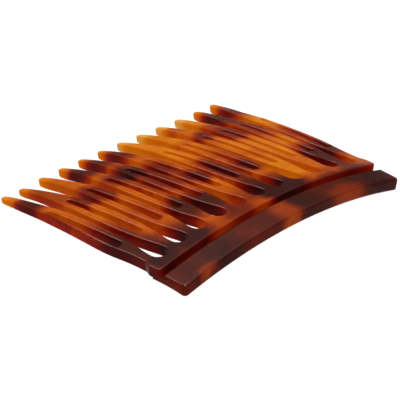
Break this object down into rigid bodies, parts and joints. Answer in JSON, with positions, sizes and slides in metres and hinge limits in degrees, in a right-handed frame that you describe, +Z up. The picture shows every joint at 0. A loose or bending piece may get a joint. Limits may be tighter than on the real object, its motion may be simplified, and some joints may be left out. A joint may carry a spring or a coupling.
{
  "type": "decorative hair comb",
  "caption": "Arched tortoiseshell-look acetate side comb with looped, slotted teeth and a bar spine bonded along the back.",
  "frame": {"origin": "centre of the footprint, at the height of the surface it rests on", "axes": "+X along the spine, +Y from the spine towards the tooth tips, +Z up out of the convex face"},
  "size_m": [0.0922, 0.0676, 0.0098],
  "materials": {
    "tortoiseshell_acetate": "gloss"
  },
  "bodies": {
    "root": {"tooth_plate": "tortoiseshell_acetate", "spine_bar": "tortoiseshell_acetate"}
  },
  "joints": []
}
